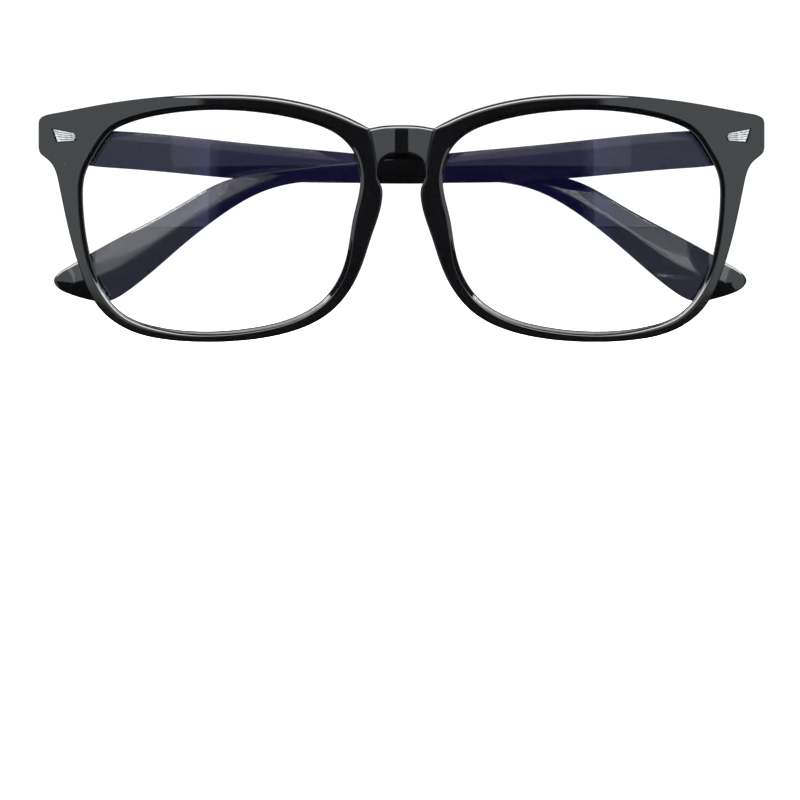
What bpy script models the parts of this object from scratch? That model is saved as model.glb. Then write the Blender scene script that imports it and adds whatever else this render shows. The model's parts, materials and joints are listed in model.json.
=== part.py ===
"""Blue-light glasses, folded, as separate pieces on two temple hinges.

Metres, +Z up. The front faces -Y, and +X is the wearer's left. The origin is under the middle of
the folded glasses, at the height of the lowest rim. Outlines are given in millimetres.
"""

import math

import bmesh
import bpy
from mathutils import Matrix, Vector

MM = 0.001

# Front: half outline (x, z), from the top of the bridge round the rim to the keyhole
FRONT_OUTLINE = [
    (0.0, 43.0, "round"),
    (3.6, 42.85, "round"),
    (6.4, 42.35, "corner"),
    (8.1, 43.3, "round"),
    (12.1, 45.2, "round"),
    (18.0, 47.1, "round"),
    (25.9, 48.6, "round"),
    (36.0, 49.1, "round"),
    (47.7, 48.6, "round"),
    (59.5, 47.1, "round"),
    (69.0, 45.35, "round"),
    (71.4, 44.6, "round"),
    (72.0, 43.4, "corner"),
    (72.0, 38.4, "corner"),
    (71.5, 37.2, "round"),
    (69.5, 35.6, "round"),
    (68.0, 31.5, "round"),
    (66.2, 23.0, "round"),
    (63.1, 12.7, "round"),
    (59.9, 6.7, "round"),
    (53.2, 2.0, "round"),
    (46.0, 0.35, "round"),
    (38.8, 0.0, "round"),
    (30.0, 0.45, "round"),
    (22.0, 2.0, "round"),
    (14.0, 6.0, "round"),
    (8.1, 14.5, "round"),
    (5.9, 21.0, "round"),
    (3.65, 29.7, "round"),
    (4.75, 32.4, "round"),
    (4.6, 34.9, "round"),
    (2.6, 36.9, "round"),
    (0.0, 37.4, "round"),
]
# Lens opening in one rim (x, z), clockwise from its top
OPENING = [
    (37.0, 45.95, "round"),
    (47.7, 45.0, "round"),
    (54.0, 43.4, "round"),
    (57.6, 41.5, "round"),
    (60.5, 37.6, "round"),
    (62.6, 33.5, "round"),
    (63.1, 27.5, "round"),
    (61.9, 18.0, "round"),
    (58.4, 9.1, "round"),
    (54.8, 5.5, "round"),
    (48.7, 3.2, "round"),
    (38.8, 2.2, "round"),
    (29.9, 2.9, "round"),
    (22.0, 4.8, "round"),
    (15.0, 9.1, "round"),
    (11.1, 16.2, "round"),
    (9.6, 24.5, "round"),
    (8.2, 31.5, "round"),
    (9.5, 37.6, "round"),
    (12.1, 40.6, "round"),
    (18.0, 43.4, "round"),
    (27.0, 45.3, "round"),
]
# Temple side view (distance behind the hinge, z), along the top edge and back along the bottom
TEMPLE_OUTLINE = [
    (0.15, 44.0, "corner"),
    (4.5, 42.6, "round"),
    (12.2, 41.8, "round"),
    (59.4, 37.35, "round"),
    (94.0, 33.7, "round"),
    (103.1, 31.9, "round"),
    (112.0, 27.15, "round"),
    (125.6, 19.8, "round"),
    (135.9, 13.8, "round"),
    (137.2, 12.2, "round"),
    (135.6, 10.1, "round"),
    (129.8, 8.2, "round"),
    (126.2, 8.0, "round"),
    (122.4, 10.0, "round"),
    (112.0, 18.65, "round"),
    (103.9, 25.0, "round"),
    (96.0, 29.6, "round"),
    (89.0, 31.5, "round"),
    (60.6, 31.5, "round"),
    (44.0, 31.8, "round"),
    (35.0, 32.4, "round"),
    (12.3, 34.4, "round"),
    (6.5, 34.9, "round"),
    (0.15, 36.2, "corner"),
]
# Trim inlay (x, z): a fan that narrows towards the lens
INLAY_OUTLINE = [
    (69.2, 42.3, "corner"),
    (65.2, 41.3, "round"),
    (64.4, 40.5, "round"),
    (65.1, 39.8, "round"),
    (68.3, 39.5, "corner"),
]

HALF_WIDTH = 72.0 * MM
FRONT_HEIGHT = 49.1 * MM
WRAP_RADIUS = 360.0 * MM
RIM_DEPTH = 4.0 * MM

# Hinges: a vertical axis at (+-HINGE_X, hinge depth behind the bridge)
HINGE_X = 68.0 * MM
HINGE_DEPTH = 14.4 * MM
HALF_BUTT_GAP = 0.15 * MM
EAR_RADIUS = 2.0 * MM
EAR_CLEARANCE = 0.2 * MM
LOWER_EAR = (36.6 * MM, 39.3 * MM)
UPPER_EAR = (42.0 * MM, 44.1 * MM)
KNUCKLE_GAP = 0.15 * MM
END_PIECE_FROM_X = 66.0 * MM
END_PIECE_BOTTOM = 35.4 * MM
BARREL_BAY_TO_X = 70.35 * MM
BARREL_BAY_DEPTH = 1.7 * MM
EAR_ROOT = 0.6 * MM

SCREW_RADIUS = 0.60 * MM
SCREW_HOLE_RADIUS = 0.69 * MM
SCREW_FROM_Z = 36.9 * MM
SCREW_HEAD = (43.4 * MM, 43.95 * MM)
SCREW_HEAD_RADIUS = 1.1 * MM
HEAD_CLEARANCE = 0.1 * MM

# Temples: a flat outer face, and an inner face that tapers from the root
TEMPLE_LENGTH = 137.2 * MM
TEMPLE_ROOT_THICKNESS = 4.0 * MM
TEMPLE_TAPER = 0.8 * MM
TEMPLE_TAPER_LENGTH = 40.0 * MM
FOLD_LEFT = math.radians(91.5)
FOLD_RIGHT = math.radians(87.5)

# Lenses: one spherical shell each, seated in a groove in the rim
LENS_RADIUS = 150.0 * MM
LENS_CENTRE_X = 21.2 * MM
LENS_CENTRE_DEPTH = 151.6 * MM
LENS_CENTRE_Z = 24.1 * MM
LENS_THICKNESS = 1.8 * MM
LENS_SEAT = 0.5 * MM
GROOVE_SIDE_GAP = 0.3 * MM
GROOVE_FACE_GAP = 0.25 * MM
LENS_MIDDLE_X = 35.7 * MM
LENS_BLANK = (66.0 * MM, 56.0 * MM)

# Nose pads: ellipsoids that lean with the rim and splay backwards
PAD_CENTRE = (8.9 * MM, 6.0 * MM, 19.5 * MM)
PAD_SEMI_AXES = (1.9 * MM, 3.7 * MM, 8.6 * MM)
PAD_LEAN = math.radians(16.0)
PAD_SPLAY = math.radians(22.0)

INLAY_MIDDLE_X = 67.0 * MM
INLAY_THICKNESS = 0.8 * MM
INLAY_PROUD = 0.1 * MM
INLAY_GAP = 0.15 * MM

# The folded depth runs from the bridge to the outer temple's tip
FOLDED_DEPTH = (
    HINGE_DEPTH
    + TEMPLE_LENGTH * math.cos(FOLD_RIGHT)
    + TEMPLE_ROOT_THICKNESS * math.sin(FOLD_RIGHT)
)
FRONT_Y = -FOLDED_DEPTH / 2
HINGE_Y = FRONT_Y + HINGE_DEPTH
SIDES = {"left": 1, "right": -1}
OVERSHOOT = 1.0 * MM


def clear_scene():
    for obj in list(bpy.data.objects):
        bpy.data.objects.remove(obj, do_unlink=True)


def new_collection(name):
    collection = bpy.data.collections.new(name)
    bpy.context.scene.collection.children.link(collection)
    return collection


def new_material(name, colour, roughness, metallic=0.0):
    material = bpy.data.materials.new(name)
    material.use_nodes = True
    shader = material.node_tree.nodes["Principled BSDF"]
    shader.inputs["Base Color"].default_value = (*colour, 1.0)
    shader.inputs["Roughness"].default_value = roughness
    shader.inputs["Metallic"].default_value = metallic
    return material


def as_part(obj, name, material):
    """Makes obj one of the object's pieces."""
    obj.name = name
    obj.data.name = name
    obj.data.materials.clear()
    obj.data.materials.append(material)
    move_to(obj, PARTS)
    return obj


def as_cutter(obj):
    obj.hide_render = True
    obj.display_type = "WIRE"
    move_to(obj, CUTTERS)
    return obj


def move_to(obj, collection):
    for old in list(obj.users_collection):
        old.objects.unlink(obj)
    collection.objects.link(obj)


def combine(obj, other, operation):
    modifier = obj.modifiers.new(f"{operation.lower()} {other.name}", "BOOLEAN")
    modifier.operation = operation
    modifier.solver = "EXACT"
    modifier.object = other
    as_cutter(other)


def front_y(x):
    """How far the wrapped front face lies behind the bridge's, as a world y."""
    return FRONT_Y + WRAP_RADIUS - math.sqrt(WRAP_RADIUS**2 - x**2)


def mirrored(half):
    """A whole outline from the half at +X that starts and ends on the middle line."""
    return half + [(-x, z, kind) for x, z, kind in reversed(half[1:-1])]


def grown(outline, distance):
    """A clockwise outline with each point moved outwards by distance, in millimetres."""
    result = []
    for index, (x, z, kind) in enumerate(outline):
        before = Vector(outline[index - 1][:2])
        after = Vector(outline[(index + 1) % len(outline)][:2])
        along = (after - before).normalized()
        result.append((x - along.y * distance, z + along.x * distance, kind))
    return result


def sided(outline, side):
    return [(x * side, z, kind) for x, z, kind in outline]


def mesh_from_curve(name, curve, matrix):
    """Turns a filled curve into a welded mesh object, and removes the curve."""
    source = bpy.data.objects.new(name, curve)
    bpy.context.scene.collection.objects.link(source)
    source.matrix_world = matrix
    graph = bpy.context.evaluated_depsgraph_get()
    mesh = bpy.data.meshes.new_from_object(source.evaluated_get(graph))
    bm = bmesh.new()
    bm.from_mesh(mesh)
    bmesh.ops.remove_doubles(bm, verts=bm.verts, dist=0.01 * MM)
    bmesh.ops.recalc_face_normals(bm, faces=bm.faces)
    bm.to_mesh(mesh)
    bm.free()
    made = bpy.data.objects.new(name, mesh)
    bpy.context.scene.collection.objects.link(made)
    made.matrix_world = matrix
    bpy.data.objects.remove(source, do_unlink=True)
    bpy.data.curves.remove(curve)
    return made


def flat_curve(name, half_thickness, resolution):
    curve = bpy.data.curves.new(name, "CURVE")
    curve.dimensions = "2D"
    curve.fill_mode = "BOTH"
    curve.extrude = half_thickness
    curve.resolution_u = resolution
    return curve


def add_outline(curve, outline):
    spline = curve.splines.new("BEZIER")
    spline.bezier_points.add(len(outline) - 1)
    for point, (x, z, kind) in zip(spline.bezier_points, outline):
        point.co = (x * MM, z * MM, 0.0)
        handle = "AUTO" if kind == "round" else "VECTOR"
        point.handle_left_type = handle
        point.handle_right_type = handle
    spline.use_cyclic_u = True


def upright_plate(name, outlines, low_y, high_y, resolution=4):
    """A plate with its outline in X and Z, from low_y to high_y."""
    curve = flat_curve(name, (high_y - low_y) / 2, resolution)
    for outline in outlines:
        add_outline(curve, outline)
    middle = Matrix.Translation((0.0, (low_y + high_y) / 2, 0.0))
    return mesh_from_curve(name, curve, middle @ Matrix.Rotation(math.pi / 2, 4, "X"))


def plan_plate(name, points, low_z, high_z):
    """A prism with its polygon in X and Y, from low_z to high_z."""
    curve = flat_curve(name, (high_z - low_z) / 2, 1)
    spline = curve.splines.new("POLY")
    spline.points.add(len(points) - 1)
    for point, (x, y) in zip(spline.points, points):
        point.co = (x, y, 0.0, 1.0)
    spline.use_cyclic_u = True
    return mesh_from_curve(name, curve, Matrix.Translation((0.0, 0.0, (low_z + high_z) / 2)))


def upright_cylinder(name, radius, x, y, low_z, high_z, sides=24):
    bpy.ops.mesh.primitive_cylinder_add(
        vertices=sides,
        radius=radius,
        depth=high_z - low_z,
        location=(x, y, (low_z + high_z) / 2),
    )
    made = bpy.context.object
    made.name = name
    return made


def wrapped_plan():
    """The front seen from above: a curved strip with a deep end piece at each side.

    Inside each end piece a shallow bay leaves room for the hinge barrels.
    """
    steps = 28
    reach = HALF_WIDTH + OVERSHOOT
    columns = [-reach + 2 * reach * step / steps for step in range(steps + 1)]
    points = [(x, front_y(x)) for x in columns]
    inner = END_PIECE_FROM_X
    bay = BARREL_BAY_TO_X
    back = HINGE_Y - HALF_BUTT_GAP
    shelf = HINGE_Y - BARREL_BAY_DEPTH
    points += [(reach, back), (bay, back), (bay, shelf), (inner, shelf)]
    rim_edge = inner - OVERSHOOT
    rim = [rim_edge - 2 * rim_edge * step / steps for step in range(steps + 1)]
    points += [(x, front_y(x) + RIM_DEPTH) for x in rim]
    points += [(-inner, shelf), (-bay, shelf), (-bay, back), (-reach, back)]
    return plan_plate("wrap", points, -OVERSHOOT, FRONT_HEIGHT + OVERSHOOT)


def hinge_ear(name, side, low, high):
    """A barrel with a straight web that roots it in the end piece."""
    steps = 12
    turns = [math.pi * step / steps for step in range(steps + 1)]
    x = side * HINGE_X
    points = [(x + EAR_RADIUS * math.cos(t), HINGE_Y + EAR_RADIUS * math.sin(t)) for t in turns]
    root = HINGE_Y - BARREL_BAY_DEPTH - EAR_ROOT
    points += [(x - EAR_RADIUS, root), (x + EAR_RADIUS, root)]
    return plan_plate(name, points, low, high)


def rim_side_relief(label, side):
    """Brings the side of the rim back to rim depth below the end piece."""
    steps = 4
    inner = END_PIECE_FROM_X - 2 * OVERSHOOT
    reach = HALF_WIDTH + OVERSHOOT
    columns = [inner + (reach - inner) * step / steps for step in range(steps + 1)]
    points = [(side * x, front_y(x) + RIM_DEPTH) for x in columns]
    back = HINGE_Y + OVERSHOOT
    points += [(side * reach, back), (side * inner, back)]
    return plan_plate(f"rim side relief {label}", points, -OVERSHOOT, END_PIECE_BOTTOM)


def lens_blank(name, side, thickness, outline):
    """A spherical shell trimmed to an outline: a lens, or the cutter for its groove."""
    columns = 12
    rows = 10
    width, height = LENS_BLANK
    bm = bmesh.new()
    bmesh.ops.create_grid(bm, x_segments=columns, y_segments=rows, size=0.5)
    for vert in bm.verts:
        x = LENS_MIDDLE_X + vert.co.x * width
        z = LENS_CENTRE_Z + vert.co.y * height
        flat = (x - LENS_CENTRE_X) ** 2 + (z - LENS_CENTRE_Z) ** 2
        depth = LENS_CENTRE_DEPTH - math.sqrt(LENS_RADIUS**2 - flat)
        vert.co = (side * x, FRONT_Y + depth, z)
    mesh = bpy.data.meshes.new(name)
    bm.to_mesh(mesh)
    bm.free()
    shell = bpy.data.objects.new(name, mesh)
    bpy.context.scene.collection.objects.link(shell)
    solidify = shell.modifiers.new("thickness", "SOLIDIFY")
    solidify.thickness = thickness
    solidify.offset = 0.0
    front = FRONT_Y - OVERSHOOT
    back = HINGE_Y
    trim = upright_plate(f"{name} trim", [sided(outline, side)], front, back, 3)
    combine(shell, trim, "INTERSECT")
    return shell


def nose_pad(name, side):
    x, depth, z = PAD_CENTRE
    bpy.ops.mesh.primitive_uv_sphere_add(segments=20, ring_count=12, radius=1.0)
    pad = bpy.context.object
    pad.name = name
    turn = Matrix.Rotation(-side * PAD_SPLAY, 4, "Z") @ Matrix.Rotation(-side * PAD_LEAN, 4, "Y")
    place = Matrix.Translation((side * x, FRONT_Y + depth, z))
    pad.data.transform(place @ turn @ Matrix.Diagonal((*PAD_SEMI_AXES, 1.0)))
    return pad


def inlay_plate(name, side, gap, depth):
    """The inlay's plate, tilted to lie in the wrapped face, or the pocket for it."""
    outline = grown([(x, z, kind) for x, z, kind in reversed(INLAY_OUTLINE)], gap / MM)
    low = -INLAY_PROUD - gap
    plate = upright_plate(name, [sided(outline, side)], low, depth)
    tilt = side * math.asin(INLAY_MIDDLE_X / WRAP_RADIUS)
    middle = Vector((side * INLAY_MIDDLE_X, 0.0, 0.0))
    face = Matrix.Translation((middle.x, front_y(INLAY_MIDDLE_X), 0.0))
    plate.data.transform(plate.matrix_world)
    plate.matrix_world = Matrix.Identity(4)
    plate.data.transform(face @ Matrix.Rotation(tilt, 4, "Z") @ Matrix.Translation(-middle))
    return plate


def front_frame():
    """Both rims, the keyhole bridge, the nose pads, the end pieces and their hinge ears."""
    openings = [sided(OPENING, side) for side in SIDES.values()]
    outline = [mirrored(FRONT_OUTLINE)] + openings
    frame = upright_plate("front_frame", outline, FRONT_Y - OVERSHOOT, HINGE_Y + OVERSHOOT)
    as_part(frame, "front_frame", MATERIALS["front"])
    combine(frame, wrapped_plan(), "INTERSECT")
    for label, side in SIDES.items():
        x = side * HINGE_X
        combine(frame, rim_side_relief(label, side), "DIFFERENCE")
        combine(frame, nose_pad(f"nose pad {label}", side), "UNION")
        for ear, (low, high) in (("lower", LOWER_EAR), ("upper", UPPER_EAR)):
            combine(frame, hinge_ear(f"{ear} ear {label}", side, low, high), "UNION")
        recess_radius = EAR_RADIUS + EAR_CLEARANCE
        recess = (LOWER_EAR[1], UPPER_EAR[0])
        slot = upright_cylinder(f"knuckle slot {label}", recess_radius, x, HINGE_Y, *recess)
        combine(frame, slot, "DIFFERENCE")
        groove_outline = grown(OPENING, (LENS_SEAT + GROOVE_SIDE_GAP) / MM)
        groove_width = LENS_THICKNESS + 2 * GROOVE_FACE_GAP
        groove = lens_blank(f"groove {label}", side, groove_width, groove_outline)
        combine(frame, groove, "DIFFERENCE")
        low = SCREW_FROM_Z - OVERSHOOT
        high = UPPER_EAR[1] + OVERSHOOT
        hole = upright_cylinder(f"hole {label}", SCREW_HOLE_RADIUS, x, HINGE_Y, low, high)
        combine(frame, hole, "DIFFERENCE")
        seat_radius = SCREW_HEAD_RADIUS + HEAD_CLEARANCE
        seat_floor = SCREW_HEAD[0] - HEAD_CLEARANCE
        seat = upright_cylinder(f"head seat {label}", seat_radius, x, HINGE_Y, seat_floor, high)
        combine(frame, seat, "DIFFERENCE")
        pocket_depth = INLAY_THICKNESS - INLAY_PROUD + INLAY_GAP
        pocket = inlay_plate(f"inlay pocket {label}", side, INLAY_GAP, pocket_depth)
        combine(frame, pocket, "DIFFERENCE")


def lenses():
    for label, side in SIDES.items():
        outline = grown(OPENING, LENS_SEAT / MM)
        lens = lens_blank(f"lens_{label}", side, LENS_THICKNESS, outline)
        as_part(lens, f"lens_{label}", MATERIALS["lens"])


def inlays():
    for label, side in SIDES.items():
        depth = INLAY_THICKNESS - INLAY_PROUD
        plate = inlay_plate(f"inlay_{label}", side, 0.0, depth)
        as_part(plate, f"inlay_{label}", MATERIALS["inlay"])


def hinge_screw(label, side):
    """A turned screw: shank and pan head in one profile."""
    profile = [
        (0.0, SCREW_HEAD[1]),
        (SCREW_HEAD_RADIUS, SCREW_HEAD[1]),
        (SCREW_HEAD_RADIUS, SCREW_HEAD[0]),
        (SCREW_RADIUS, SCREW_HEAD[0]),
        (SCREW_RADIUS, SCREW_FROM_Z),
        (0.0, SCREW_FROM_Z),
    ]
    name = f"hinge_screw_{label}"
    mesh = bpy.data.meshes.new(name)
    edges = [(index, index + 1) for index in range(len(profile) - 1)]
    mesh.from_pydata([(radius, 0.0, z) for radius, z in profile], edges, [])
    screw = bpy.data.objects.new(name, mesh)
    screw.location = (side * HINGE_X, HINGE_Y, 0.0)
    turned = screw.modifiers.new("turned", "SCREW")
    turned.steps = 24
    turned.render_steps = 24
    turned.use_merge_vertices = True
    turned.merge_threshold = 0.00001
    as_part(screw, name, MATERIALS["screw"])


def temple_taper(label, side):
    """The temple seen from above in its open position, with its flat outer face."""
    outer = TEMPLE_ROOT_THICKNESS
    end = TEMPLE_LENGTH + OVERSHOOT
    points = [
        (0.0, -OVERSHOOT),
        (outer, -OVERSHOOT),
        (outer, end),
        (TEMPLE_TAPER, end),
        (TEMPLE_TAPER, TEMPLE_TAPER_LENGTH),
    ]
    points = [(side * x, y) for x, y in points]
    return plan_plate(f"taper {label}", points, 0.0, FRONT_HEIGHT)


def temple(label, side, fold):
    """Modelled open along +Y from the hinge, then turned shut with its parent on the hinge axis."""
    hinge = bpy.data.objects.new(f"hinge_axis_{label}", None)
    PARTS.objects.link(hinge)
    hinge.location = (side * HINGE_X, HINGE_Y, 0.0)
    hinge.rotation_euler = (0.0, 0.0, side * fold)
    name = f"temple_{label}"
    outline = upright_plate(name, [TEMPLE_OUTLINE], -OVERSHOOT, TEMPLE_ROOT_THICKNESS + OVERSHOOT)
    lay_along_y(outline, side)
    arm = as_part(outline, name, MATERIALS["temple"])
    tools = [(temple_taper(label, side), "INTERSECT")]
    knuckle_z = (LOWER_EAR[1] + KNUCKLE_GAP, UPPER_EAR[0] - KNUCKLE_GAP)
    knuckle = upright_cylinder(f"knuckle {label}", EAR_RADIUS, 0.0, 0.0, *knuckle_z)
    tools.append((knuckle, "UNION"))
    recess_radius = EAR_RADIUS + EAR_CLEARANCE
    top = (UPPER_EAR[0] - KNUCKLE_GAP, UPPER_EAR[1] + OVERSHOOT)
    bottom = (LOWER_EAR[0] - OVERSHOOT, LOWER_EAR[1] + KNUCKLE_GAP)
    for ear, (low, high) in (("upper", top), ("lower", bottom)):
        recess = upright_cylinder(f"{ear} recess {label}", recess_radius, 0.0, 0.0, low, high)
        tools.append((recess, "DIFFERENCE"))
    hole = upright_cylinder(f"knuckle hole {label}", SCREW_HOLE_RADIUS, 0.0, 0.0, bottom[0], top[1])
    tools.append((hole, "DIFFERENCE"))
    for tool, operation in tools:
        combine(arm, tool, operation)
        tool.parent = hinge
    arm.parent = hinge


def lay_along_y(plate, side):
    """Turns a plate's X into +Y and its thickness into the side's outward X."""
    plate.data.transform(plate.matrix_world)
    plate.matrix_world = Matrix.Identity(4)
    for vert in plate.data.vertices:
        along, out, z = vert.co
        vert.co = (side * out, along, z)
    if side > 0:
        plate.data.flip_normals()


def shade(obj):
    obj.data.shade_smooth()
    obj.data.set_sharp_from_angle(angle=math.radians(30.0))


clear_scene()
PARTS = new_collection("blue_light_glasses")
CUTTERS = new_collection("cutters")
MATERIALS = {
    "front": new_material("gloss black front", (0.012, 0.012, 0.014), 0.12),
    "temple": new_material("gloss black temple", (0.012, 0.012, 0.014), 0.14),
    "lens": new_material("clear lens", (0.93, 0.93, 0.97), 0.03),
    "screw": new_material("hinge steel", (0.62, 0.62, 0.63), 0.3, 1.0),
    "inlay": new_material("silver trim", (0.82, 0.82, 0.83), 0.22, 1.0),
}
front_frame()
lenses()
inlays()
for side_label, side_sign in SIDES.items():
    hinge_screw(side_label, side_sign)
temple("left", SIDES["left"], FOLD_LEFT)
temple("right", SIDES["right"], FOLD_RIGHT)
for part in PARTS.objects:
    if part.type == "MESH":
        shade(part)
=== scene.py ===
"""Black blue-light glasses, folded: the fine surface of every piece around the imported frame."""

import json
import math

import bmesh
import bpy
import numpy as np
from mathutils import Matrix, Vector


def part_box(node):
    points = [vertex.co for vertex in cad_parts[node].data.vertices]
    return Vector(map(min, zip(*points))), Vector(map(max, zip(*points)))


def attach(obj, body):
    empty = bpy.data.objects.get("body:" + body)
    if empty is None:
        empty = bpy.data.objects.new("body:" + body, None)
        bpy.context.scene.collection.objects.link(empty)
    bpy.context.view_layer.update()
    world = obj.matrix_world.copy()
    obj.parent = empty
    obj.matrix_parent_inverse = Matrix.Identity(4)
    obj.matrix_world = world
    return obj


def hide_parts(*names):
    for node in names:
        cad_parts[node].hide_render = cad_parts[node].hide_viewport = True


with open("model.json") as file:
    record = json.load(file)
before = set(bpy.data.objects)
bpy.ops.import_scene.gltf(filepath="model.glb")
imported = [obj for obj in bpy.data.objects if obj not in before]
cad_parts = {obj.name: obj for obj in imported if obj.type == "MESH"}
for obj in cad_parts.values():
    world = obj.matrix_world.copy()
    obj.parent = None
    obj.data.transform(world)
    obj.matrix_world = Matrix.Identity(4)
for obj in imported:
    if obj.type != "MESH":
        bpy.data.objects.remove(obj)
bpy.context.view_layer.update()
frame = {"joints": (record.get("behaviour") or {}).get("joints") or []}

# Everything below is worked out in millimetres and turned to metres when a mesh is made.
MM = 0.001
SIDES = {"left": 1, "right": -1}
CORNERS = ((-1, -1), (1, -1), (1, 1), (-1, 1))

# ---- places read from the frame
FRONT_Y = (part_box("front_frame")[0] / MM).y
JOINTS = {joint["child"].split("_")[0]: joint for joint in frame["joints"]}
HINGE_X = abs(JOINTS["left"]["pos_m"][0]) / MM
HINGE_Y = JOINTS["left"]["pos_m"][1] / MM
FOLD = {side: math.radians(JOINTS[side]["range_deg"][1]) for side in SIDES}
SCREW_LOW, SCREW_HIGH = (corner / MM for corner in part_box("hinge_screw_left"))

# ---- the front's dimensions
WRAP_RADIUS = 360.0
HALF_WIDTH = 72.0
RIM_DEPTH = 4.0

# Outlines in X and Z, for the wearer's left half
BRIDGE_TOP = [(6.4, 42.35), (3.6, 42.85), (0.0, 43.0)]
BROW = [(6.4, 42.35), (8.1, 43.3), (12.1, 45.2), (18.0, 47.1), (25.9, 48.6), (36.0, 49.1), (47.7, 48.6),
        (59.5, 47.1), (69.0, 45.35), (71.2, 44.7), (71.85, 44.1), (72.0, 43.2)]
SIDE = [(72.0, 43.2), (72.0, 38.6)]
RIM = [(72.0, 38.6), (71.75, 37.6), (70.9, 36.75), (69.5, 35.5), (68.0, 31.5), (66.2, 23.0), (63.1, 12.7),
       (59.9, 6.7), (53.2, 2.0), (46.0, 0.4), (38.8, 0.0), (30.0, 0.45), (22.0, 2.0), (14.0, 6.0),
       (8.1, 14.5), (5.9, 21.0), (3.75, 29.0), (3.9, 30.7), (4.75, 32.7), (4.75, 33.9)]
KEYHOLE = [(4.75, 33.9), (4.3, 35.5), (2.6, 36.9), (0.0, 37.4)]
# Where the rim's face meets the bridge
VALLEY = [(4.75, 33.9), (5.35, 37.0), (6.4, 42.35)]
OPENING = [(37.0, 45.95), (47.7, 45.0), (54.0, 43.4), (57.6, 41.5), (60.5, 37.6), (62.6, 33.5),
           (63.1, 27.5), (61.9, 18.0), (58.4, 9.1), (54.8, 5.5), (48.7, 3.2), (38.8, 2.2), (29.9, 2.9),
           (22.0, 4.8), (15.0, 9.1), (11.1, 16.2), (9.6, 24.5), (8.2, 31.5), (9.5, 37.6), (12.1, 40.6),
           (18.0, 43.4), (27.0, 45.3)]
# Where the front's outline and the lens opening correspond, clockwise from the notch by the bridge
RIM_PAIRS = [((6.4, 42.35), (11.3, 39.9)), ((12.1, 45.2), (14.2, 41.9)), ((25.9, 48.6), (26.6, 45.25)),
             ((36.0, 49.1), (36.5, 45.95)), ((47.7, 48.6), (46.8, 45.1)), ((59.5, 47.1), (55.4, 42.8)),
             ((69.0, 45.35), (58.2, 41.0)), ((71.6, 44.4), (59.2, 39.8)), ((72.0, 38.6), (61.1, 36.5)),
             ((69.5, 35.5), (62.1, 34.7)), ((68.0, 31.5), (63.1, 30.4)), ((66.2, 23.0), (62.7, 22.9)),
             ((63.1, 12.7), (60.3, 13.6)), ((59.9, 6.7), (57.7, 8.2)), ((53.2, 2.0), (52.2, 4.3)),
             ((38.8, 0.0), (38.8, 2.2)), ((22.0, 2.0), (22.9, 4.5)), ((14.0, 6.0), (16.2, 8.0)),
             ((8.1, 14.5), (11.3, 15.6)), ((5.9, 21.0), (10.2, 21.8)), ((3.75, 29.0), (8.6, 29.0)),
             ((4.75, 33.9), (8.4, 34.0))]

# Bevel round the lens opening: a narrow lip, a slope, and a blend into the face
LIP = 0.26
# The lip's profile: share of its width, and depth below the slope's end
LIP_PROFILE = [(0.0, 0.1), (0.1, 0.03), (0.25, 0.005), (1.0, 0.0)]
SLOPE_WIDTH = {"nose": 0.78, "outside": 1.1}
SLOPE_TILT = {"nose": math.radians(29.0), "outside": math.radians(47.0)}
SLOPE_SHARES = (0.2, 0.5, 0.8)
BLEND_RADIUS = {"outer_low": 0.95, "elsewhere": 0.22}
# Where the bevel takes its form beside the nose, and low on the outer half
NOSE_SIDE = {"x": (11.0, 16.0), "z": (14.0, 20.0)}
OUTER_LOW = {"x": (38.0, 54.0), "z": (9.0, 17.0)}
# Radius of the front's outer edge, and the tilt at which it leaves the face on the outer half
EDGE_RADIUS = {"brow": 1.05, "valley": 0.1, "outside": 0.6, "elsewhere": 0.45}
OUTSIDE_EDGE_TILT = math.radians(45.0)
OUTSIDE_X = (36.0, 50.0)
BROW_FROM_Z = 42.3
VALLEY_FROM_Z = 34.2
VALLEY_TO_X = 6.42
REAR_EDGE_RADIUS = 0.55
REAR_INNER_RADIUS = 0.4
# A rim narrower than this has its edges scaled down to fit
NARROW_RIM = 2.0

# The bridge's front falls away from its middle, at first steeply
SADDLE_SLOPE = 0.2
SADDLE_REACH = 1.6
HEEL_DROP = 1.2
HEEL_REACH = 4.3
BRIDGE_DEPTH = 3.85
BRIDGE_TOP_EDGE = 0.85
BRIDGE_LOW_EDGE = 0.22
# Where the bridge's top and low lines end, inside the rims
BRIDGE_TOP_END = (8.2, 42.2)
BRIDGE_LOW_END = (6.6, 33.6)

PAD_BOTTOM = 8.0
PAD_TOP = 31.5
PAD_FADE = {"low": 8.0, "high": 9.0}
PAD_TO_X = 25.0
PAD_FROM_DEPTH = 1.6
PAD_HEIGHT = 5.0
PAD_SPLAY = 0.9
PAD_NARROWING = 0.42

# The block behind the rim's corner, with the bay that takes the hinge barrel
END_PIECE_X = 65.4
END_PIECE_Z = 35.3
END_PIECE_MIDDLE = (68.0, 41.0)
END_PIECE_CORNER = 0.3
# How far behind the front's face the block starts, at its outer and its inner side
END_PIECE_SUNK = {"outer": 1.2, "inner": 2.5}
BUTT_GAP = 0.15
BARREL_BAY_X = 70.35
BARREL_BAY_DEPTH = 1.7
# The block stays this far inside the rim's own outline
HAIRLINE = 0.02
TRIM_MARGIN = 1.0
TRIM_RISE = 0.1
# A rounded corner takes at most this share of each edge beside it
CORNER_SHARE = 0.45

# ---- the lenses' and inlays' dimensions
LENS_RADIUS = 150.0
LENS_CENTRE = (21.2, 151.6, 24.1)
LENS_MIDDLE = (36.0, 24.0)
LENS_THICKNESS = 1.8
LENS_SEAT = 0.5

INLAY = {"outer_top": (69.2, 42.3), "outer_low": (68.3, 39.62),
         "inner_top": (64.8, 41.4), "inner_low": (64.85, 39.9)}
INLAY_TIP_BULGE = 0.28
INLAY_RIBS = 5
INLAY_PROUD = 0.1
INLAY_SUNK = 0.6
INLAY_GROOVE_DEPTH = 0.24
INLAY_GROOVE_SHARE = 0.17
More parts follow.
